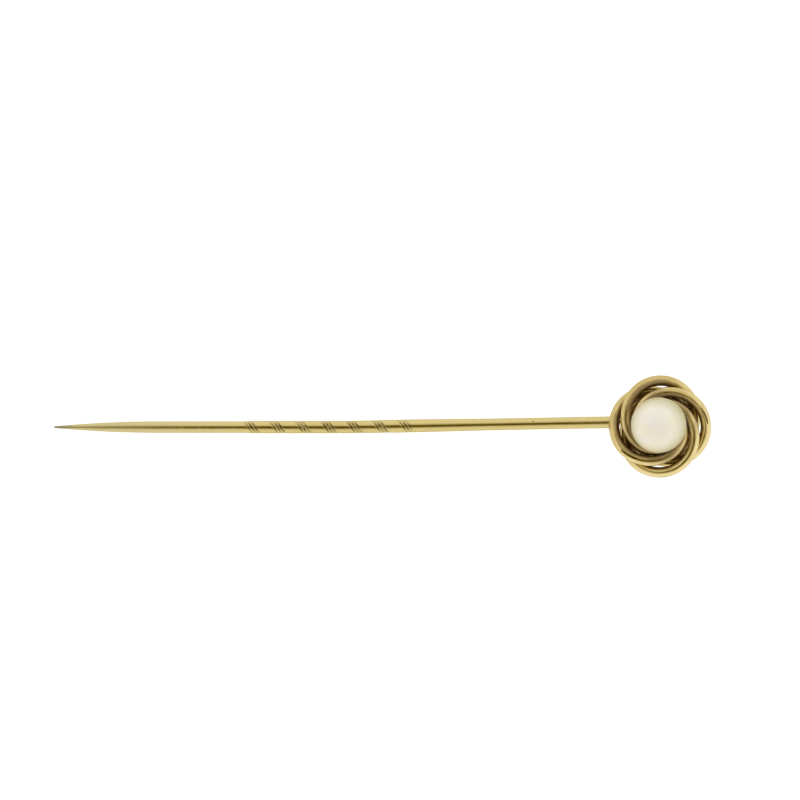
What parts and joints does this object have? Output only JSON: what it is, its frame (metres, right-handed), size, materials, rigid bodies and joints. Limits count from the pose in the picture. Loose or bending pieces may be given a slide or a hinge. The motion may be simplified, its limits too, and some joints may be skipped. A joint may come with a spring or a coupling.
{
  "type": "stick pin",
  "caption": "Slim pointed pin with a twisted grip and a flat-set knot of interlaced wire rings round a pearl.",
  "frame": {"origin": "on the stem's axis, midway along the plain shank between the ground point and the twisted grip", "axes": "+X along the stem from the point to the knot; +Z out of the knot's face; +Y across the stem, the side the upper stem bends to"},
  "size_m": [0.0602, 0.0093, 0.0077],
  "materials": {
    "stem_gold": "polished yellow gold, a little dulled",
    "ring_gold": "polished yellow gold with tarnish in the recesses",
    "plate_gold": "yellow gold, dulled and tarnished in the recesses",
    "cup_gold": "satin yellow gold",
    "solder": "satin gold solder",
    "pearl": "soft pearl lustre",
    "cement": "matte cement"
  },
  "bodies": {
    "pin": {"stem": "stem_gold", "back_plate": "plate_gold", "ring_right": "ring_gold", "ring_top": "ring_gold", "ring_left": "ring_gold", "ring_bottom": "ring_gold", "ring_solder": "solder", "plate_solder": "solder", "stem_solder": "solder", "pearl_cup": "cup_gold", "cup_solder": "solder", "pearl_peg": "cup_gold", "pearl_cement": "cement", "pearl": "pearl"}
  },
  "joints": []
}
